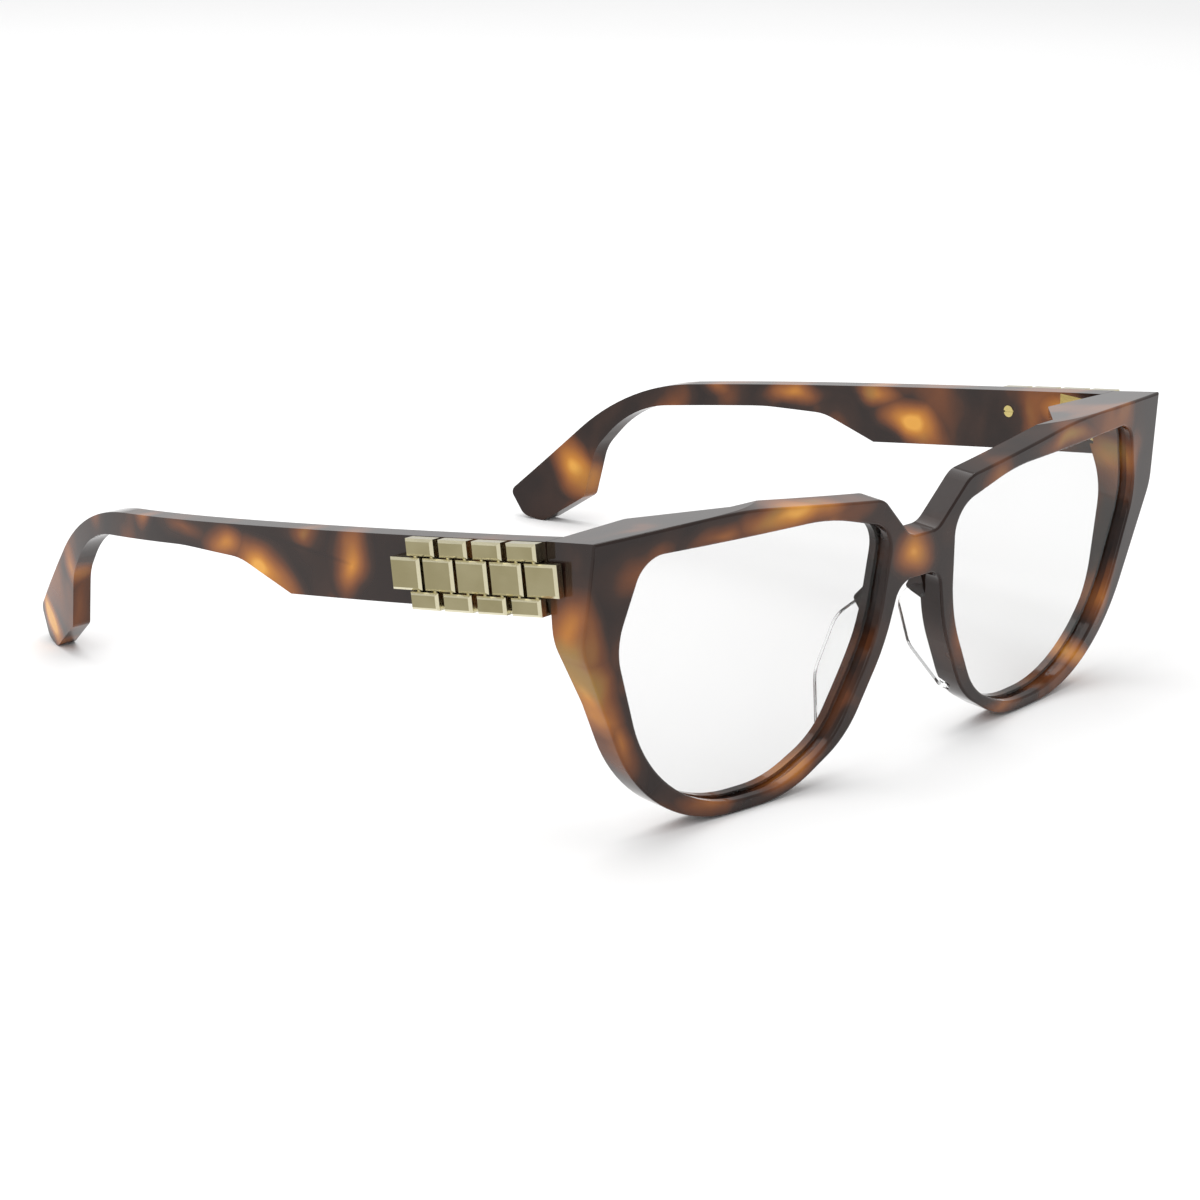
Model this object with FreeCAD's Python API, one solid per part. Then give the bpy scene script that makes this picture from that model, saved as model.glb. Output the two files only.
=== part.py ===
import FreeCAD, Part
import math
import os

V = FreeCAD.Vector

# Driving sizes, in millimetres and degrees.
lens_width = 56.0            # boxed lens size
lens_height = 42.7
bridge_width = 16.0          # distance between the two lens boxes
rim_thickness = 4.4
front_curve_radius = 440.0   # gentle bow of the whole front
pantoscopic_tilt = 12.7      # front leans against the line of the temples
bar_height = 4.0             # acetate above the lens at the temple side
rim_bottom = 2.0             # acetate below the lens
end_piece_width = 5.4        # from the lens box to the side face
end_piece_depth = 9.7        # from the front's corner back to the temple joint
end_block_width = 17.4       # how far the deep end-piece reaches towards the nose
bridge_height = 7.2
bridge_notch = 6.8           # depth of the notch over the nose, below the lens top
edge_round = 0.4             # along every edge of the front face
pad_length = 23.0
pad_reach = 5.2              # how far a nose pad stands behind the rim
pad_width = 2.4
pad_flare = 8.0              # degrees by which the pad leans towards the nose

temple_height = 10.5
temple_thickness = 3.7
temple_narrow = 4.1          # height of the slim part behind the step
temple_step = 54.4           # joint to the step's corner
temple_bend = 112.0          # joint to the ear bend
temple_drop = 36.8           # angle of the tip below the temple line
temple_tip = 34.2            # length of the dropped tip
joint_gap = 0.10

lens_thickness = 1.7
lens_setback = 1.4           # front face to lens face
lens_in_rim = 0.6            # how far the lens reaches into its groove
fit_gap = 0.03               # every glued or pressed fit

barrel_radius = 1.25
barrel_height = 6.0
knuckles = 5
knuckle_gap = 0.08
hinge_screw_radius = 0.7
screw_head_height = 0.6
running_gap = 0.05           # screw in the turning knuckles
barrel_clearance = 0.35
leaf_thickness = 0.9
leaf_length = 8.0
arm_reach = 3.2              # from the hinge's axis to the end of the temple leaf's arms
hinge_drop = 1.7             # top of the temple to the top of the barrel
hinge_cant = 8.8             # the barrels lean forward with the front, so the temples fold level

link_pitch = 6.6
link_gap = 0.6
row_gap = 0.25
centre_links = 5
side_links = 4
centre_link_height = 4.9
side_link_height = 2.65
side_link_length = 5.6
link_proud = 2.2
link_bevel = 0.4
link_overhang = 3.4          # how far the front link covers the joint
overhang_clearance = 0.35
link_pin_radius = 0.35
plaque_screw_radius = 0.6
plaque_screw_head = 1.05

core_wire_height = 1.5
core_wire_thickness = 0.8
core_wire_start = 35.0       # joint to the wire's front end

# Places worked out from the sizes above.
half_bridge = bridge_width / 2
lens_top = -bar_height - 0.7
lens_bottom = lens_top - lens_height
corner_x = half_bridge + lens_width + end_piece_width
corner_y = front_curve_radius - math.sqrt(front_curve_radius ** 2 - corner_x ** 2)
joint_y = corner_y + end_piece_depth
outer_x = corner_x + 0.3
inner_x = outer_x - temple_thickness
temple_front = joint_y + joint_gap / 2
front_back = joint_y - joint_gap / 2
hinge_x = inner_x - barrel_radius - 0.3
hinge_y = joint_y
barrel_top = -hinge_drop
knuckle_height = (barrel_height - (knuckles - 1) * knuckle_gap) / knuckles
plaque_middle = -temple_height / 2 - 0.15


def rounded(corners, place):
    """Closed wire of straight lines with an arc of the given radius at each corner (a, b, radius)."""
    count = len(corners)
    ends = []
    for i in range(count):
        before = V(corners[i - 1][0], corners[i - 1][1], 0)
        here = V(corners[i][0], corners[i][1], 0)
        after = V(corners[(i + 1) % count][0], corners[(i + 1) % count][1], 0)
        radius = corners[i][2]
        inward = (before - here).normalize()
        outward = (after - here).normalize()
        if radius == 0:
            ends.append((here, None, here))
            continue
        half = inward.getAngle(outward) / 2
        reach = radius / math.tan(half)
        middle = (inward + outward).normalize() * (radius / math.sin(half) - radius)
        ends.append((here + inward * reach, here + middle, here + outward * reach))
    edges = []
    for i in range(count):
        start, middle, finish = ends[i]
        if middle is not None:
            arc = Part.Arc(place(start), place(middle), place(finish))
            edges.append(arc.toShape())
        following = ends[(i + 1) % count][0]
        edges.append(Part.LineSegment(place(finish), place(following)).toShape())
    return Part.Wire(edges)


def on_front(point):
    return V(point.x, 0, point.y)


def on_side(point):
    return V(0, point.x, point.y)


def on_plan(point):
    return V(point.x, point.y, 0)


def prism(wire, start, finish):
    """Solid from a flat wire, swept from the offset start to the offset finish."""
    moved = wire.copy()
    moved.translate(start)
    return Part.Face(moved).extrude(finish - start)


def box(x0, x1, y0, y1, z0, z1):
    return Part.makeBox(x1 - x0, y1 - y0, z1 - z0, V(x0, y0, z0))


def tilt(shape):
    """From the front's own upright frame to the frame of the temples."""
    turned = shape.copy()
    turned.rotate(V(0, 0, 0), V(1, 0, 0), pantoscopic_tilt)
    return turned


def mirrored(shape):
    return shape.mirror(V(0, 0, 0), V(1, 0, 0))


def canted(shape):
    """Lean a piece of the hinge about the middle of its barrel."""
    turned = shape.copy()
    turned.rotate(V(hinge_x, hinge_y, barrel_top - barrel_height / 2), V(1, 0, 0), hinge_cant)
    return turned


def main_solid(shape):
    return max(shape.Solids, key=lambda solid: solid.Volume)


# ---------------------------------------------------------------- front

def in_lens_box(u, v, dx=0.0, dz=0.0):
    """A place given as a fraction of the lens box, from its nasal lower corner, plus a margin."""
    return (half_bridge + u * lens_width + dx, lens_bottom + v * lens_height + dz)


def aperture_wire():
    corners = [
        (*in_lens_box(0.268, 0.991), 40.0),
        (*in_lens_box(0.928, 0.998), 5.0),
        (*in_lens_box(1.0, 0.69), 12.0),
        (*in_lens_box(0.824, 0.0), 25.0),
        (*in_lens_box(0.366, 0.0), 20.0),
        (*in_lens_box(0.175, 0.12), 14.0),
        (*in_lens_box(0.026, 0.48), 30.0),
        (*in_lens_box(-0.005, 0.895), 5.5),
    ]
    return rounded(corners, on_front)


def outline_wire():
    notch = lens_top - bridge_notch
    half = [
        (0.41 * half_bridge, notch, 3.5),
        (*in_lens_box(0.047, 1.0, 0, 0.5), 4.0),
        (*in_lens_box(0.57, 1.0, 0, bar_height + 0.05), 60.0),
        (*in_lens_box(1.0, 1.0, end_piece_width, bar_height), 0),
        (*in_lens_box(1.0, 0.70, end_piece_width + 0.8), 8.0),
        (*in_lens_box(0.85, 0.0, 0.0, -rim_bottom), 27.0),
        (*in_lens_box(0.366, 0.0, -1.4, -rim_bottom), 22.0),
        (*in_lens_box(0.175, 0.12, -3.3), 16.0),
        (*in_lens_box(0.026, 0.48, -2.15, -1.9), 30.0),
        (0.61 * half_bridge, notch - bridge_height, 3.5),
    ]
    other = [(-x, z, r) for x, z, r in reversed(half)]
    return rounded(half + other, on_front)


def bowed(depth):
    """Everything behind a surface set back by depth from the bowed front face."""
    radius = front_curve_radius - depth
    return Part.makeCylinder(radius, 120, V(0, front_curve_radius, -80), V(0, 0, 1))


def bowed_slab(near, far):
    return bowed(near).cut(bowed(far))


def through(wire):
    return prism(wire, V(0, -2, 0), V(0, 30, 0))


def lens_solid(extra, gap):
    grown = aperture_wire().makeOffset2D(extra)
    slab = bowed_slab(lens_setback - gap, lens_setback + lens_thickness + gap)
    return tilt(through(grown).common(slab))


def make_lens():
    return main_solid(lens_solid(lens_in_rim, 0.0))


def end_block():
    """The deep end-piece: a straight side, a flat back for the joint and a slanting inner face."""
    slant_x = corner_x - end_block_width - 12.0
    plan = [
        (outer_x + 5.0, corner_y - 6.0, 0),
        (outer_x + 5.0, front_back, 0),
        (inner_x, front_back, 0),
        (corner_x - end_block_width, front_back + 1.2, 1.5),
        (slant_x, corner_y + rim_thickness - 3.4, 0),
        (slant_x, corner_y - 6.0, 0),
    ]
    return prism(rounded(plan, on_plan), V(0, 0, -60), V(0, 0, 5))


def front_leaf_pocket(gap):
    """Seat in the end-piece for the front leaf's arms and anchor."""
    low = barrel_top - barrel_height
    height = (low - gap, barrel_top + gap)
    back = hinge_y - 4.6 - gap
    arms = box(hinge_x - 0.9 - gap, hinge_x + 0.9 + gap, back, hinge_y, *height)
    anchor = box(hinge_x - 1.2 - gap, hinge_x + 1.6 + gap, back, hinge_y - 3.4 + gap, *height)
    return arms.fuse(anchor)


def barrel_space(clearance):
    """Room in the end-piece for the barrel, the screw's head above it and the folded arms beside it."""
    low = barrel_top - barrel_height - 0.25
    high = barrel_top + screw_head_height + 0.25
    foot = V(hinge_x, hinge_y, low)
    round_part = Part.makeCylinder(barrel_radius + clearance, high - low, foot, V(0, 0, 1))
    inner_end = hinge_x - arm_reach - clearance
    return round_part.fuse(box(inner_end, hinge_x, hinge_y - 0.7 - clearance, hinge_y + 2.0, low, high))


def polished(half):
    """Round every edge of the bowed front face but the cut at the middle, as tumbling does."""
    edges = []
    for face in half.Faces:
        surface = face.Surface
        if isinstance(surface, Part.Cylinder) and abs(surface.Radius - front_curve_radius) < 0.01:
            edges += [edge for edge in face.Edges if edge.BoundBox.XMax > 0.01]
    return main_solid(half.makeFillet(edge_round, edges))


def make_front():
    """The left half is made whole and then joined to its mirror image."""
    outline = through(outline_wire())
    rim = tilt(outline.common(bowed_slab(0, rim_thickness)))
    behind_face = tilt(outline.common(bowed(0)))
    body = rim.fuse([behind_face.common(end_block()), pad_seat()]).removeSplitter()
    body = body.common(box(0, 100, -10, 60, -90, 0))
    half = polished(main_solid(body.cut(tilt(through(aperture_wire())))))
    seat = lens_solid(lens_in_rim + fit_gap, fit_gap)
    hinge = canted(front_leaf_pocket(fit_gap).fuse(barrel_space(barrel_clearance)))
    half = main_solid(half.cut(seat).cut(hinge))
    return main_solid(half.fuse(mirrored(half)))


def beside_nose(shape):
    """Carry a shape built upright on the pad's own axes to its place behind the nasal rim."""
    low_x, low_z = in_lens_box(0.175, 0.12, -1.9)
    high_x, high_z = in_lens_box(0.0, 0.61, -2.0)
    lean = math.degrees(math.atan2(high_x - low_x, high_z - low_z))
    placed = shape.copy()
    placed.rotate(V(0, rim_thickness, 0), V(0, 0, 1), pad_flare)
    placed.rotate(V(0, 0, 0), V(0, 1, 0), lean)
    placed.translate(V(low_x, low_x ** 2 / (2 * front_curve_radius), low_z))
    return tilt(placed)


def pad_seat():
    """Ramp of acetate that carries the rim's back out to the top of the pad."""
    side = [
        (rim_thickness - 1.0, pad_length - 4.0, 0),
        (rim_thickness + 2.6, pad_length - 1.6, 0.6),
        (rim_thickness - 1.0, pad_length + 4.0, 0),
    ]
    reach = V(pad_width / 2 - 0.2, 0, 0)
    return beside_nose(prism(rounded(side, on_side), -reach, reach))


def make_pad(front):
    """Clear blade behind the nasal rim, D-shaped from the side and rounded where it meets the nose."""
    crest = rim_thickness + pad_reach
    side = [
        (rim_thickness - 1.0, 0, 0),
        (rim_thickness + 0.8, 0.4, 1.5),
        (crest, 0.36 * pad_length, 6.0),
        (crest, 0.78 * pad_length, 5.0),
        (rim_thickness + 0.8, pad_length - 0.3, 1.5),
        (rim_thickness - 1.0, pad_length, 0),
    ]
    reach = V(pad_width / 2, 0, 0)
    blade = prism(rounded(side, on_side), -reach, reach)
    rims = [e for e in blade.Edges if e.BoundBox.XLength < 0.001 and e.BoundBox.YMin > crest - 0.001]
    blade = blade.makeFillet(0.8, rims)
    seat = lens_solid(lens_in_rim + fit_gap, fit_gap)
    return main_solid(beside_nose(blade).cut(front).cut(seat))


# ---------------------------------------------------------------- temple

def temple_x(y):
    """Outer face of the left temple seen from above: it bows out, then curls in behind the ear."""
    run = y - joint_y
    curl = max(run - 73.0, 0.0)
    return outer_x + 0.099 * run - 0.00081 * run ** 2 - 0.0018 * curl ** 2


def plan_curve(offset, start, finish):
    count = 9
    stations = [start + (finish - start) * i / (count - 1) for i in range(count)]
    curve = Part.BSplineCurve()
    curve.interpolate([V(temple_x(y) + offset, y, 0) for y in stations])
    return curve.toShape()


def plan_band(inner, outer, start, finish, low, high):
    """Upright slab that follows the temple in plan, between two offsets from its outer face."""
    near = plan_curve(inner, start, finish)
    far = plan_curve(outer, start, finish)
    caps = [
        Part.LineSegment(V(temple_x(y) + inner, y, 0), V(temple_x(y) + outer, y, 0)).toShape()
        for y in (start, finish)
    ]
    wire = Part.Wire(Part.__sortEdges__([near, far] + caps))
    return prism(wire, V(0, 0, low), V(0, 0, high))


def tip_point(along, across):
    """A place on the dropped tip: along it from the ear bend, and across it downwards."""
    drop = math.radians(temple_drop)
    bend = joint_y + temple_bend
    y = bend + along * math.cos(drop) - across * math.sin(drop)
    z = -along * math.sin(drop) - across * math.cos(drop)
    return (y, z)


def temple_side():
    step = joint_y + temple_step
    bend = joint_y + temple_bend
    corners = [
        (temple_front, 0, 0),
        (bend, 0, 42.0),
        (*tip_point(temple_tip, 0.0), 1.5),
        (*tip_point(temple_tip + 1.3, 5.4), 2.5),
        (*tip_point(temple_tip - 1.1, 8.9), 2.0),
        (*tip_point(temple_tip - 11.5, 10.7), 1.5),
        (*tip_point(temple_tip - 20.1, 5.0), 8.0),
        (bend - 0.7, -temple_narrow, 20.0),
        (step + 26.0, -temple_narrow, 60.0),
        (step + 11.5, -temple_narrow - 1.2, 12.0),
        (step, -temple_height + 0.1, 0),
        (temple_front, -temple_height, 0),
    ]
    return rounded(corners, on_side)


def core_wire_side():
    start = joint_y + core_wire_start
    middle = -temple_narrow / 2
    half = core_wire_height / 2
    bend = joint_y + temple_bend
    drop_in = (bend - 1.0)
    corners = [
        (start, middle - 0.9 + half + 0.4, 0.3),
        (start + 4.5, middle - 0.9 + half + 0.4, 0.2),
        (start + 5.5, middle - 0.6 + half, 0.2),
        (start + 30.0, middle + half, 30.0),
        (drop_in, middle + half, 36.0),
        (*tip_point(temple_tip - 6.0, 3.6 - half), 0.4),
        (*tip_point(temple_tip - 6.0, 3.6 + half), 0.4),
        (drop_in - 0.8, middle - half, 34.0),
        (start + 30.0, middle - half, 30.0),
        (start + 5.5, middle - 0.6 - half, 0.2),
        (start + 4.5, middle - 0.9 - half - 0.4, 0.2),
        (start, middle - 0.9 - half - 0.4, 0.3),
    ]
    return rounded(corners, on_side)


def make_core_wire():
    side = prism(core_wire_side(), V(40, 0, 0), V(90, 0, 0))
    middle = -temple_thickness / 2
    half = core_wire_thickness / 2
    band = plan_band(middle - half, middle + half, joint_y + 20, joint_y + 145, -60, 10)
    return main_solid(side.common(band))


def temple_leaf_plate(gap):
    start = hinge_y + 1.9
    low = barrel_top - barrel_height - gap
    finish = start + leaf_length + gap
    inner = -temple_thickness
    return plan_band(inner - 0.5, inner + leaf_thickness + gap, start - gap, finish, low, barrel_top + gap)


def make_temple(wire):
    side = prism(temple_side(), V(40, 0, 0), V(90, 0, 0))
    band = plan_band(-temple_thickness, 0, temple_front - 5, joint_y + 150, -60, 10)
    temple = side.common(band).cut(wire)
    temple = temple.cut(canted(temple_leaf_plate(fit_gap)))
    temple = temple.cut(canted(temple_leaf_arms(fit_gap)))
    for y, z in plaque_screw_places():
        temple = temple.cut(plaque_screw(y, z, fit_gap))
    return main_solid(temple)


# ---------------------------------------------------------------- hinge

def knuckle(index):
    low = barrel_top - (index + 1) * knuckle_height - index * knuckle_gap
    return Part.makeCylinder(barrel_radius, knuckle_height, V(hinge_x, hinge_y, low), V(0, 0, 1)), low


def screw_hole(gap):
    foot = V(hinge_x, hinge_y, barrel_top - barrel_height - 1.0)
    return Part.makeCylinder(hinge_screw_radius + gap, barrel_height + 2.0, foot, V(0, 0, 1))


def make_front_leaf():
    low = barrel_top - barrel_height
    leaf = box(hinge_x - 1.2, hinge_x + 1.6, hinge_y - 4.6, hinge_y - 3.4, low, barrel_top)
    for index in range(0, knuckles, 2):
        body, bottom = knuckle(index)
        arm = box(hinge_x - 0.9, hinge_x + 0.9, hinge_y - 4.0, hinge_y, bottom, bottom + knuckle_height)
        leaf = leaf.fuse(body).fuse(arm)
    return main_solid(canted(leaf.cut(screw_hole(fit_gap)).removeSplitter()))


def temple_leaf_arms(gap):
    """Arms from the temple's knuckles to its plate."""
    arms = None
    for index in range(1, knuckles, 2):
        bottom = knuckle(index)[1]
        top = bottom + knuckle_height
        run = (hinge_y + 0.5 - gap, hinge_y + arm_reach + gap)
        arm = box(hinge_x - 0.7, inner_x + 0.7 + gap, *run, bottom - gap, top + gap)
        arms = arm if arms is None else arms.fuse(arm)
    return arms


def make_temple_leaf():
    start = hinge_y + 1.9
    low = barrel_top - barrel_height
    inner = -temple_thickness
    leaf = plan_band(inner - 0.1, inner + leaf_thickness, start, start + leaf_length, low, barrel_top)
    for index in range(1, knuckles, 2):
        body, bottom = knuckle(index)
        run = (hinge_y + 0.5, hinge_y + arm_reach)
        arm = box(hinge_x - 0.7, inner_x + 0.7, *run, bottom, bottom + knuckle_height)
        leaf = leaf.fuse(body).fuse(arm)
    return main_solid(canted(leaf.cut(screw_hole(running_gap)).removeSplitter()))


def make_hinge_screw():
    low = barrel_top - barrel_height - 0.2
    shaft = Part.makeCylinder(hinge_screw_radius, barrel_height + 0.2, V(hinge_x, hinge_y, low), V(0, 0, 1))
    head = Part.makeCylinder(1.1, screw_head_height, V(hinge_x, hinge_y, barrel_top + 0.02), V(0, 0, 1))
    neck = Part.makeCylinder(hinge_screw_radius, 0.3, V(hinge_x, hinge_y, barrel_top - 0.1), V(0, 0, 1))
    slot = box(hinge_x - 2, hinge_x + 2, hinge_y - 0.15, hinge_y + 0.15, barrel_top + 0.35, barrel_top + 2)
    return main_solid(canted(shaft.fuse(neck).fuse(head).cut(slot)))


# ---------------------------------------------------------------- plaque of links

def slope_at(y):
    return math.degrees(math.atan2(temple_x(y + 0.5) - temple_x(y - 0.5), 1.0))


def seated(shape, y):
    """Move a shape built round x=0, y=0 onto the temple's outer face at y, turned to lie along it."""
    turned = shape.copy()
    turned.rotate(V(0, 0, 0), V(0, 0, 1), -slope_at(y))
    turned.translate(V(temple_x(y), y, 0))
    return turned


def link_block(length, height, y, z):
    block = box(-0.4, link_proud, -length / 2, length / 2, z - height / 2, z + height / 2)
    outer = [e for e in block.Edges if e.BoundBox.XMin > link_proud - 0.01]
    return seated(block.makeChamfer(link_bevel, outer), y)


def centre_link_y(index):
    return joint_y - link_overhang + (index + 0.5) * link_pitch


def side_link_y(index):
    return joint_y - link_overhang + (index + 1.0) * link_pitch


def side_link_z(row):
    return plaque_middle + row * (centre_link_height / 2 + row_gap + side_link_height / 2)


def link_pins():
    """Short pins that tie each outer link to the two centre links it bridges."""
    pins = []
    for row in (-1, 1):
        edge = plaque_middle + row * (centre_link_height / 2 + row_gap / 2)
        for index in range(side_links):
            for side in (-1, 1):
                y = side_link_y(index) + side * link_pitch / 4
                pin = Part.makeCylinder(link_pin_radius, 1.6, V(1.1, 0, edge - 0.8), V(0, 0, 1))
                pins.append(seated(pin, y))
    return pins


def grown_pins():
    holes = []
    for row in (-1, 1):
        edge = plaque_middle + row * (centre_link_height / 2 + row_gap / 2)
        for index in range(side_links):
            for side in (-1, 1):
                y = side_link_y(index) + side * link_pitch / 4
                hole = Part.makeCylinder(link_pin_radius + fit_gap, 1.7, V(1.1, 0, edge - 0.85), V(0, 0, 1))
                holes.append(seated(hole, y))
    return holes


def plaque_screw_places():
    return [(centre_link_y(3) + 1.7, plaque_middle + 1.65), (side_link_y(2), side_link_z(-1))]


def plaque_screw(y, z, gap):
    length = temple_thickness + 0.65 + gap
    shaft = Part.makeCylinder(plaque_screw_radius + gap, length, V(-temple_thickness, 0, z), V(1, 0, 0))
    under = V(-temple_thickness - 0.1, 0, z)
    head = Part.makeCylinder(plaque_screw_head + gap, 0.6 + gap, under, V(1, 0, 0))
    return seated(shaft.fuse(head), y)


def make_plaque_screws():
    screws = []
    for y, z in plaque_screw_places():
        slot = seated(box(-temple_thickness - 1, -temple_thickness + 0.15, -2, 2, z - 0.15, z + 0.15), y)
        screws.append(plaque_screw(y, z, 0.0).cut(slot))
    return screws


def make_links(temple):
    """Every link of one plaque, by node name."""
    links = {}
    for index in range(centre_links):
        y = centre_link_y(index)
        block = link_block(link_pitch - link_gap, centre_link_height, y, plaque_middle)
        links["centre_link_%d" % (index + 1)] = block
    for name, row in (("upper_link", 1), ("lower_link", -1)):
        for index in range(side_links):
            block = link_block(side_link_length, side_link_height, side_link_y(index), side_link_z(row))
            links["%s_%d" % (name, index + 1)] = block
    relief = box(40, outer_x + overhang_clearance, joint_y - 20, temple_front + 0.2, -60, 10)
    holes = grown_pins()
    screws = [plaque_screw(y, z, fit_gap) for y, z in plaque_screw_places()]
    for name in links:
        link = links[name].cut(temple).cut(relief)
        for tool in holes + screws:
            if tool.BoundBox.intersect(link.BoundBox):
                link = link.cut(tool)
        links[name] = main_solid(link)
    return links


# ---------------------------------------------------------------- assembly

def rest_angle(front, temple):
    """Pitch at which the rims and the tips both stand on the table."""
    angle = 0.0
    for _ in range(6):
        lows = []
        for shape in (front, temple):
            turned = shape.copy()
            turned.rotate(V(0, 0, 0), V(1, 0, 0), -angle)
            lows.append(turned.optimalBoundingBox(False, False))
        reach = lows[1].YMax - lows[0].YMin
        angle += math.degrees(math.atan2(lows[1].ZMin - lows[0].ZMin, reach))
    return angle


def build():
    nodes = {}
    front = make_front()
    nodes["front"] = [front]
    left = {}
    left["lens"] = [make_lens()]
    left["nose_pad"] = [make_pad(front)]
    left["front_hinge_leaf"] = [make_front_leaf()]
    left["temple_hinge_leaf"] = [make_temple_leaf()]
    left["hinge_screw"] = [make_hinge_screw()]
    wire = make_core_wire()
    temple = make_temple(wire)
    left["temple"] = [temple]
    left["core_wire"] = [wire]
    for name, link in make_links(temple).items():
        left[name] = [link]
    left["link_pins"] = link_pins()
    left["plaque_screws"] = make_plaque_screws()
    for name, shapes in left.items():
        nodes[name + "_left"] = shapes
        nodes[name + "_right"] = [mirrored(shape) for shape in shapes]
    return nodes, rest_angle(front, temple)


def main():
    nodes, angle = build()
    compounds = {}
    for name, shapes in nodes.items():
        shape = shapes[0] if len(shapes) == 1 else Part.makeCompound(shapes)
        shape.rotate(V(0, 0, 0), V(1, 0, 0), -angle)
        compounds[name] = shape
    everything = Part.makeCompound(list(compounds.values()))
    bounds = everything.optimalBoundingBox(False, False)
    shift = V(0, -(bounds.YMin + bounds.YMax) / 2, -bounds.ZMin)
    os.makedirs("parts", exist_ok=True)
    for name, shape in compounds.items():
        shape.translate(shift)
        shape.exportStep("parts/" + name + ".step")
    axis = V(hinge_x, hinge_y, barrel_top - barrel_height / 2)
    turn = FreeCAD.Rotation(V(1, 0, 0), -angle)
    print("rest angle", angle)
    print("hinge point", turn.multVec(axis) + shift)
    cant = FreeCAD.Rotation(V(1, 0, 0), hinge_cant)
    print("hinge axis", turn.multVec(cant.multVec(V(0, 0, 1))))
    print("size", bounds.XLength, bounds.YLength, bounds.ZLength)
    print("shift", shift)


main()
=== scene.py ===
import math

import bmesh
import bpy
from mathutils import Matrix, Vector

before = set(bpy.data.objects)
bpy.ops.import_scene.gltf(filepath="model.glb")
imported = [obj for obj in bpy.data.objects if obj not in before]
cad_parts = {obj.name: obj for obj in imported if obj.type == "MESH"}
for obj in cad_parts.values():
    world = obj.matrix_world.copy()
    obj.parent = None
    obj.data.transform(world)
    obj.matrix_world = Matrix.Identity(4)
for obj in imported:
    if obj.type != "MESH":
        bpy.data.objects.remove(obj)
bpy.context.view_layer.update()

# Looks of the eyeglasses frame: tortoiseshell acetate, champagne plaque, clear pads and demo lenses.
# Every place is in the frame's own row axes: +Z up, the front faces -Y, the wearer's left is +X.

MM = 0.001

# ---------------------------------------------------------------- camera and stage

VIEW_AZIMUTH = -46.3
VIEW_ELEVATION = 16.9
VIEW_ROLL = 0.85
VIEW_DISTANCE = 505.5 * MM
LOOK_AT = Vector((-31.2, -34.0, 24.4)) * MM
LENS_MM = 95.73
SENSOR_MM = 36.0

FLOOR_RADIUS = 4.0
FLOOR_DROP = 0.05 * MM
ROOM_LIGHT = 0.72
# Lamps: place in metres, size in metres, power in watts.
TOP_BOX = ((0.1, 0.25, 1.1), (1.2, 1.2), 9.0)
SIDE_BOX = ((-0.9, -0.1, 0.7), (0.6, 0.9), 3.0)

# Acetate colours, from the dark ground to the clearest honey.
DARK = "#231713"
UMBER = "#35221A"
RUSSET = "#65391F"
CHESTNUT = "#8F5527"
AMBER = "#BD7A2C"
HONEY = "#DFA043"
OLIVE = "#86713A"
CHAMPAGNE = "#8A8262"
# Painted highlight: the brighter base colour that the metal's bevels take; flat faces are also stained towards it.
BEVEL_HIGHLIGHT_AND_STAIN = "#DAD3B4"

# How much of the edge colour, which is also the bevels' painted highlight, stains the flat faces of the metal.
STAIN_SHARE = 0.10

# How the clouds of the acetate and the brush marks of the metal are drawn out along the row axes.
FRONT_STRETCH = (0.8, 1.0, 0.7)
TEMPLE_STRETCH = (1.0, 0.8, 0.55)
BRUSHED = (1.0, 0.15, 1.0)

# Honey patches in the acetate: centre, radii and turn about the slab's normal, in mm and degrees,
# then how clear the patch is. The front's normal is Y and a temple's is X.
FRONT_PATCHES = [
    ((-69, -65, 33), (4, 9, 13), -14, 0.75),
    ((-66, -66, 24), (4.5, 9, 13), -24, 0.85),
    ((-62, -68, 17), (3.5, 9, 12), -28, 0.6),
    ((-31, -74, 46.4), (17, 9, 4), 3, 0.95),
    ((-46, -73, 46.5), (10, 9, 3), 6, 0.5),
    ((-3, -74, 34), (8, 9, 5.5), 28, 0.85),
    ((-13, -71, 20), (4, 9, 10), 16, 0.5),
    ((-26, -70, 3.5), (10, 9, 4), -22, 0.8),
    ((-44, -69, 2.5), (9, 9, 3), 6, 0.6),
    ((12, -73, 18), (4, 9, 11), -20, 0.45),
    ((18, -74, 44), (7, 9, 6), -18, 0.55),
    ((39, -73, 46.6), (12, 9, 3.4), 0, 0.6),
    ((50, -67, 5), (9, 9, 4), 30, 0.85),
    ((62, -66, 37), (5, 10, 10), 12, 0.75),
    ((58, -68, 15), (4, 10, 9), 26, 0.6),
    ((27, -71, 2), (9, 9, 3.2), 0, 0.55),
]
NEAR_TEMPLE_PATCHES = [
    ((-73, -1, 31), (8, 11, 6.5), 14, 1.0),
    ((-72, 9, 33.5), (8, 9, 4), -4, 0.75),
    ((-72, 19, 34), (8, 8, 3.5), 0, 0.45),
    ((-72, -21, 37), (8, 5, 9), 0, 0.8),
    ((-72, -11, 40), (8, 6, 4), 0, 0.5),
    ((-71, 31, 33.5), (8, 5, 5), 6, 0.7),
    ((-67, 48, 30), (8, 5, 6), -30, 0.45),
    ((-63, 69, 5), (8, 4, 9), -36, 1.35),
    ((-66, 58, 17), (8, 3.5, 8), -36, 0.6),
]
FAR_TEMPLE_PATCHES = [
    ((69, -17, 33), (8, 11, 6), 12, 1.0),
    ((69, -8, 38), (8, 8, 4), 6, 0.75),
    ((69, 12, 34), (8, 10, 4), -4, 0.75),
    ((68, 30, 33), (8, 6, 4), 0, 0.5),
    ((65, 42, 27), (8, 8, 5), -30, 0.55),
    ((61, 62, 12), (8, 6, 9), -36, 0.95),
    ((67, -51, 43), (7, 9, 5), 0, 0.7),
]


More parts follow.
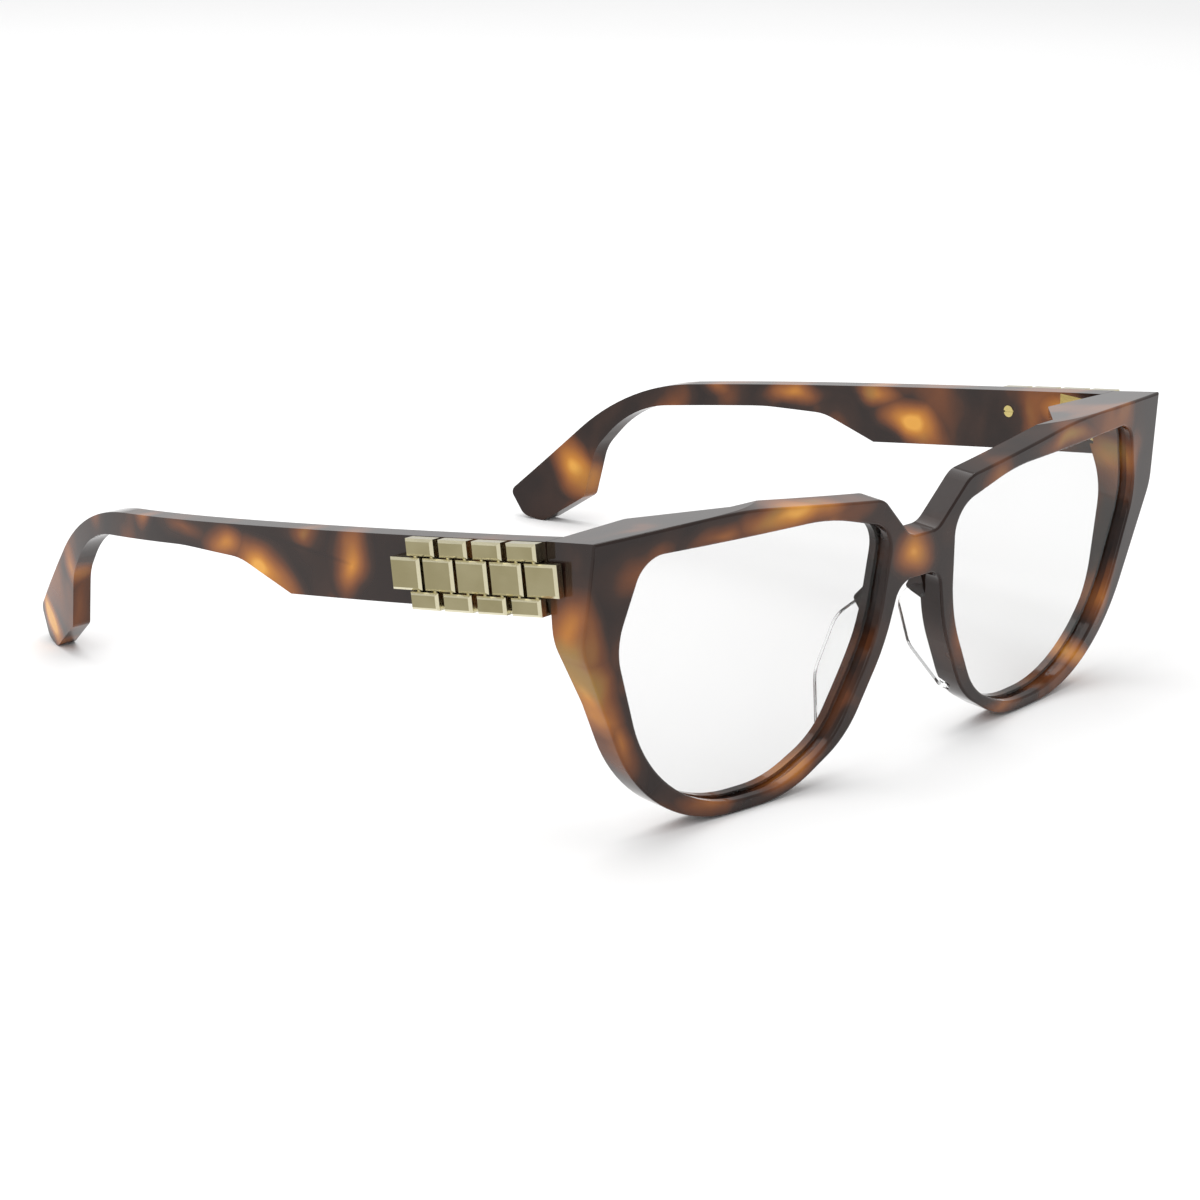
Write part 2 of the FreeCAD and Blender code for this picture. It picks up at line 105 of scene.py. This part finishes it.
# Where the core wire shows through the clearer acetate as a dark line, given as the patches are.
NEAR_WIRE = [
    ((-72.5, -10, 36.2), (8, 14, 0.7), 2, 0.8),
    ((-72.5, 8, 36.9), (8, 18, 0.9), 3, 1.0),
    ((-70.5, 30, 35.0), (8, 12, 0.8), 5, 0.8),
]
FAR_WIRE = [
    ((69, 8, 36.9), (8, 18, 0.9), 3, 0.8),
    ((68, 30, 35.0), (8, 12, 0.8), 5, 0.7),
]


def linear(code):
    """A web colour as the linear colour that a shader socket takes."""
    parts = [int(code[i:i + 2], 16) / 255 for i in (1, 3, 5)]
    return (*[p / 12.92 if p <= 0.04045 else ((p + 0.055) / 1.055) ** 2.4 for p in parts], 1.0)


# ---------------------------------------------------------------- node helpers

def add_node(tree, kind, inputs=None, **settings):
    made = tree.nodes.new(kind)
    for name, value in settings.items():
        setattr(made, name, value)
    for name, value in (inputs or {}).items():
        if isinstance(value, bpy.types.NodeSocket):
            tree.links.new(value, made.inputs[name])
        else:
            made.inputs[name].default_value = value
    return made


def maths(tree, operation, first, second=0.0, third=0.0):
    return add_node(tree, "ShaderNodeMath", {0: first, 1: second, 2: third}, operation=operation).outputs[0]


def ramp(tree, value, stops):
    made = add_node(tree, "ShaderNodeValToRGB", {"Fac": value})
    band = made.color_ramp
    band.interpolation = "LINEAR"
    while len(band.elements) < len(stops):
        band.elements.new(0.5)
    for element, (place, colour) in zip(band.elements, stops):
        element.position = place
        element.color = colour
    return made.outputs["Color"]


def level(tree, value, low, high, out_low=0.0, out_high=1.0):
    return add_node(
        tree, "ShaderNodeMapRange",
        {"Value": value, "From Min": low, "From Max": high, "To Min": out_low, "To Max": out_high},
        interpolation_type="SMOOTHSTEP",
    ).outputs["Result"]


def noise(tree, coords, scale, detail=2.0, stretch=(1, 1, 1), turn=(0, 0, 0), distortion=0.0):
    placed = add_node(
        tree, "ShaderNodeMapping",
        {"Vector": coords, "Rotation": [math.radians(t) for t in turn], "Scale": stretch},
    )
    return add_node(
        tree, "ShaderNodeTexNoise",
        {"Vector": placed.outputs[0], "Scale": scale, "Detail": detail, "Distortion": distortion},
    )


def mix_colour(tree, factor, first, second):
    made = add_node(tree, "ShaderNodeMix", data_type="RGBA", blend_type="MIX")
    for socket, value in ((made.inputs[0], factor), (made.inputs[6], first), (made.inputs[7], second)):
        if isinstance(value, bpy.types.NodeSocket):
            tree.links.new(value, socket)
        else:
            socket.default_value = value
    return made.outputs[2]


def new_material(name):
    material = bpy.data.materials.new(name)
    material.use_nodes = True
    tree = material.node_tree
    tree.nodes.clear()
    out = tree.nodes.new("ShaderNodeOutputMaterial")
    coords = tree.nodes.new("ShaderNodeTexCoord")
    return material, tree, out, coords


def finish_surface(tree, out, inputs):
    shader = add_node(tree, "ShaderNodeBsdfPrincipled", inputs)
    tree.links.new(shader.outputs[0], out.inputs["Surface"])
    return shader


# ---------------------------------------------------------------- acetate

def patch(tree, coords, centre, radii, turn, normal):
    """1 in the middle of a soft ellipsoid, falling to 0 at its edge."""
    rotation = [0.0, 0.0, 0.0]
    rotation[normal] = math.radians(turn)
    placed = add_node(
        tree, "ShaderNodeMapping",
        {"Vector": coords, "Location": Vector(centre) * MM, "Rotation": rotation,
         "Scale": Vector(radii) * MM},
        vector_type="TEXTURE",
    )
    ball = add_node(tree, "ShaderNodeTexGradient", {"Vector": placed.outputs[0]}, gradient_type="SPHERICAL")
    return ball.outputs["Fac"]


def warped(tree, coords, scale, reach):
    """Coordinates pushed about by slow noise, so that patches flow like poured acetate."""
    drift = noise(tree, coords, scale, detail=1.5)
    centred = add_node(
        tree, "ShaderNodeVectorMath", {0: drift.outputs["Color"], 1: (0.5, 0.5, 0.5)}, operation="SUBTRACT",
    )
    pushed = add_node(
        tree, "ShaderNodeVectorMath", {0: centred.outputs[0], "Scale": reach}, operation="SCALE",
    )
    return add_node(tree, "ShaderNodeVectorMath", {0: coords, 1: pushed.outputs[0]}).outputs[0]


def tortoiseshell(name, patches, wire, normal, stretch, seed):
    """Glossy havana acetate: dark ground, russet clouds, and honey patches with olive hearts."""
    material, tree, out, coords = new_material(name)
    place = coords.outputs["Object"]
    flow = warped(tree, place, 70.0, 8 * MM)
    clear = 0.0
    for centre, radii, turn, strength in patches:
        one = maths(tree, "MULTIPLY", patch(tree, flow, centre, radii, turn, normal), strength * 1.15)
        clear = maths(tree, "MAXIMUM", one, clear)
    shifted = add_node(tree, "ShaderNodeVectorMath", {0: flow, 1: (seed, 0.3 * seed, 0)}).outputs[0]
    clouds = noise(tree, shifted, 70.0, 2.0, stretch).outputs["Fac"]
    threads = noise(tree, shifted, 230.0, 2.0, stretch).outputs["Fac"]
    ground = level(tree, clouds, 0.42, 0.72, 0.0, 0.50)
    depth = maths(tree, "MAXIMUM", ground, maths(tree, "MULTIPLY_ADD", ground, 0.35, clear))
    depth = maths(tree, "MULTIPLY_ADD", threads, 0.16, maths(tree, "SUBTRACT", depth, 0.08))
    colour = ramp(tree, depth, [
        (0.00, linear(DARK)), (0.20, linear(UMBER)), (0.40, linear(RUSSET)),
        (0.60, linear(CHESTNUT)), (0.84, linear(AMBER)), (1.00, linear(HONEY)),
    ])
    olive = level(tree, noise(tree, shifted, 95.0, 1.0, stretch).outputs["Fac"], 0.50, 0.66)
    olive = maths(tree, "MULTIPLY", olive, level(tree, depth, 0.40, 0.75, 0.0, 0.7))
    colour = mix_colour(tree, olive, colour, linear(OLIVE))
    for centre, radii, turn, strength in wire:
        line = maths(tree, "MULTIPLY", patch(tree, place, centre, radii, turn, normal), strength)
        colour = mix_colour(tree, level(tree, line, 0.0, 0.8, 0.0, 0.75), colour, linear(DARK))
    smear = noise(tree, place, 420.0, 2.0).outputs["Fac"]
    polish = noise(tree, place, 900.0, 1.0).outputs["Fac"]
    bump = add_node(
        tree, "ShaderNodeBump", {"Height": polish, "Strength": 0.03, "Distance": 0.1 * MM},
    )
    finish_surface(tree, out, {
        "Base Color": colour,
        "Roughness": level(tree, smear, 0.3, 0.7, 0.05, 0.11),
        "IOR": 1.49,
        "Specular IOR Level": 0.3,
        "Normal": bump.outputs[0],
    })
    return material


# ---------------------------------------------------------------- clear parts

def let_light_through(tree, out, shader, tint):
    """Lamps reach what is behind a clear part, as they do through real plastic."""
    path = tree.nodes.new("ShaderNodeLightPath")
    open_way = add_node(tree, "ShaderNodeBsdfTransparent", {"Color": tint})
    mixed = add_node(tree, "ShaderNodeMixShader", {0: path.outputs["Is Shadow Ray"]})
    tree.links.new(shader.outputs[0], mixed.inputs[1])
    tree.links.new(open_way.outputs[0], mixed.inputs[2])
    tree.links.new(mixed.outputs[0], out.inputs["Surface"])


def clear_acetate():
    material, tree, out, coords = new_material("clear_acetate")
    place = coords.outputs["Object"]
    haze = noise(tree, place, 180.0, 2.0).outputs["Fac"]
    swirl = noise(tree, place, 320.0, 1.0, (1, 0.3, 1)).outputs["Fac"]
    bump = add_node(tree, "ShaderNodeBump", {"Height": swirl, "Strength": 0.05, "Distance": 0.1 * MM})
    shader = finish_surface(tree, out, {
        "Base Color": ramp(tree, haze, [(0.3, (0.97, 0.98, 0.98, 1)), (0.7, (0.995, 0.995, 0.99, 1))]),
        "Roughness": level(tree, haze, 0.3, 0.7, 0.0, 0.05),
        "IOR": 1.25,
        "Transmission Weight": 1.0,
        "Normal": bump.outputs[0],
    })
    let_light_through(tree, out, shader, (0.97, 0.97, 0.97, 1))
    return material


def demo_lens():
    """Flat clear sheet: see-through with a faint grey cast, and a mirror only at grazing angles."""
    material, tree, out, coords = new_material("demo_lens")
    place = coords.outputs["Object"]
    cast = noise(tree, place, 25.0, 1.0).outputs["Fac"]
    wiped = noise(tree, place, 90.0, 3.0, (1, 1, 3)).outputs["Fac"]
    tint = ramp(tree, cast, [(0.3, (0.905, 0.905, 0.905, 1)), (0.7, (0.917, 0.917, 0.917, 1))])
    through = add_node(tree, "ShaderNodeBsdfTransparent", {"Color": tint})
    gloss = add_node(
        tree, "ShaderNodeBsdfGlossy",
        {"Color": (0.9, 0.95, 0.93, 1), "Roughness": level(tree, wiped, 0.3, 0.7, 0.01, 0.05)},
    )
    inside = add_node(tree, "ShaderNodeNewGeometry").outputs["Backfacing"]
    edge = add_node(tree, "ShaderNodeFresnel", {"IOR": 1.2}).outputs[0]
    mirror = maths(tree, "MULTIPLY", edge, maths(tree, "SUBTRACT", 1.0, inside))
    mixed = add_node(tree, "ShaderNodeMixShader", {0: mirror})
    tree.links.new(through.outputs[0], mixed.inputs[1])
    tree.links.new(gloss.outputs[0], mixed.inputs[2])
    tree.links.new(mixed.outputs[0], out.inputs["Surface"])
    return material


# ---------------------------------------------------------------- metals

def plated_metal(name, base, edge, brushed, rough):
    """Plated metal, brushed on the flat faces, with a painted highlight along the bevels: they take the brighter
    edge colour.
    """
    material, tree, out, coords = new_material(name)
    place = coords.outputs["Object"]
    grain = noise(tree, place, 1500.0, 2.0, brushed).outputs["Fac"]
    stain = noise(tree, place, 130.0, 2.0).outputs["Fac"]
    facing = add_node(tree, "ShaderNodeSeparateXYZ", {0: coords.outputs["Normal"]})
    across = maths(tree, "ABSOLUTE", facing.outputs["X"])
    flat = level(tree, across, 0.86, 0.95)
    body = mix_colour(tree, level(tree, stain, 0.3, 0.7, 0.0, 1.0), linear(base), linear(edge))
    body = mix_colour(tree, STAIN_SHARE, linear(base), body)
    # Painted highlight: every face that does not face along X, the bevels, takes the brighter edge colour.
    body = mix_colour(tree, flat, linear(edge), body)
    bump = add_node(tree, "ShaderNodeBump", {"Height": grain, "Strength": 0.08, "Distance": 0.02 * MM})
    finish_surface(tree, out, {
        "Base Color": body,
        "Metallic": 1.0,
        "Roughness": level(tree, grain, 0.3, 0.7, rough, rough + 0.1),
        "Normal": bump.outputs[0],
    })
    return material


# ---------------------------------------------------------------- stage

def make_floor():
    mesh = bpy.data.meshes.new("floor")
    shape = bmesh.new()
    bmesh.ops.create_circle(shape, cap_ends=True, segments=96, radius=FLOOR_RADIUS)
    shape.to_mesh(mesh)
    shape.free()
    floor = bpy.data.objects.new("floor", mesh)
    floor.location.z = -FLOOR_DROP
    bpy.context.scene.collection.objects.link(floor)
    material, tree, out, coords = new_material("pale_floor")
    mottle = noise(tree, coords.outputs["Object"], 3.0, 2.0).outputs["Fac"]
    finish_surface(tree, out, {
        "Base Color": ramp(tree, mottle, [(0.3, (0.90, 0.90, 0.90, 1)), (0.7, (0.92, 0.92, 0.92, 1))]),
        "Roughness": 0.85,
        "Specular IOR Level": 0.1,
    })
    mesh.materials.append(material)


def make_room():
    world = bpy.data.worlds.new("studio")
    world.use_nodes = True
    background = world.node_tree.nodes["Background"]
    background.inputs["Color"].default_value = (1.0, 1.0, 1.0, 1.0)
    background.inputs["Strength"].default_value = ROOM_LIGHT
    bpy.context.scene.world = world


def softbox(name, place, size, power):
    lamp = bpy.data.lights.new(name, "AREA")
    lamp.shape = "RECTANGLE"
    lamp.size, lamp.size_y = size
    lamp.energy = power
    box = bpy.data.objects.new(name, lamp)
    box.location = place
    box.rotation_euler = (LOOK_AT - Vector(place)).to_track_quat("-Z", "Y").to_euler()
    bpy.context.scene.collection.objects.link(box)


def make_camera():
    azimuth, elevation = math.radians(VIEW_AZIMUTH), math.radians(VIEW_ELEVATION)
    back = Vector((
        math.sin(azimuth) * math.cos(elevation),
        -math.cos(azimuth) * math.cos(elevation),
        math.sin(elevation),
    ))
    right = Vector((0, 0, 1)).cross(back).normalized()
    upright = back.cross(right)
    turn = Matrix((right, upright, back)).transposed() @ Matrix.Rotation(math.radians(VIEW_ROLL), 3, "Z")
    data = bpy.data.cameras.new("camera")
    data.lens = LENS_MM
    data.sensor_width = SENSOR_MM
    data.clip_start = 0.01
    camera = bpy.data.objects.new("camera", data)
    camera.matrix_world = Matrix.Translation(LOOK_AT + back * VIEW_DISTANCE) @ turn.to_4x4()
    bpy.context.scene.collection.objects.link(camera)
    bpy.context.scene.camera = camera


# ---------------------------------------------------------------- dressing the CAD nodes

def dress(prefixes, material):
    for name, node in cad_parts.items():
        if name.startswith(prefixes):
            node.data.materials.clear()
            node.data.materials.append(material)


def dress_frame():
    dress(("front",), tortoiseshell("acetate_front", FRONT_PATCHES, [], 1, FRONT_STRETCH, 0.31))
    dress(("temple_right",), tortoiseshell("acetate_near", NEAR_TEMPLE_PATCHES, NEAR_WIRE, 0, TEMPLE_STRETCH, 0.73))
    dress(("temple_left",), tortoiseshell("acetate_far", FAR_TEMPLE_PATCHES, FAR_WIRE, 0, TEMPLE_STRETCH, 0.19))
    dress(("nose_pad",), clear_acetate())
    dress(("lens",), demo_lens())
    dress(
        ("centre_link", "upper_link", "lower_link"),
        plated_metal("plaque_metal", CHAMPAGNE, BEVEL_HIGHLIGHT_AND_STAIN, BRUSHED, 0.16),
    )
    dress(("link_pins", "plaque_screws"), plated_metal("pin_metal", "#C9B878", BEVEL_HIGHLIGHT_AND_STAIN, BRUSHED, 0.12))
    dress(
        ("front_hinge_leaf", "temple_hinge_leaf"),
        plated_metal("hinge_metal", "#B59F62", "#E6D9A8", BRUSHED, 0.18),
    )
    dress(("hinge_screw",), plated_metal("screw_metal", "#C8C2AA", BEVEL_HIGHLIGHT_AND_STAIN, BRUSHED, 0.15))
    dress(("core_wire",), plated_metal("core_wire_metal", "#A8A49A", "#D8D6CE", BRUSHED, 0.22))


def main():
    bpy.context.scene.view_settings.view_transform = "Standard"
    make_room()
    make_floor()
    softbox("top_box", *TOP_BOX)
    softbox("side_box", *SIDE_BOX)
    make_camera()
    dress_frame()


main()
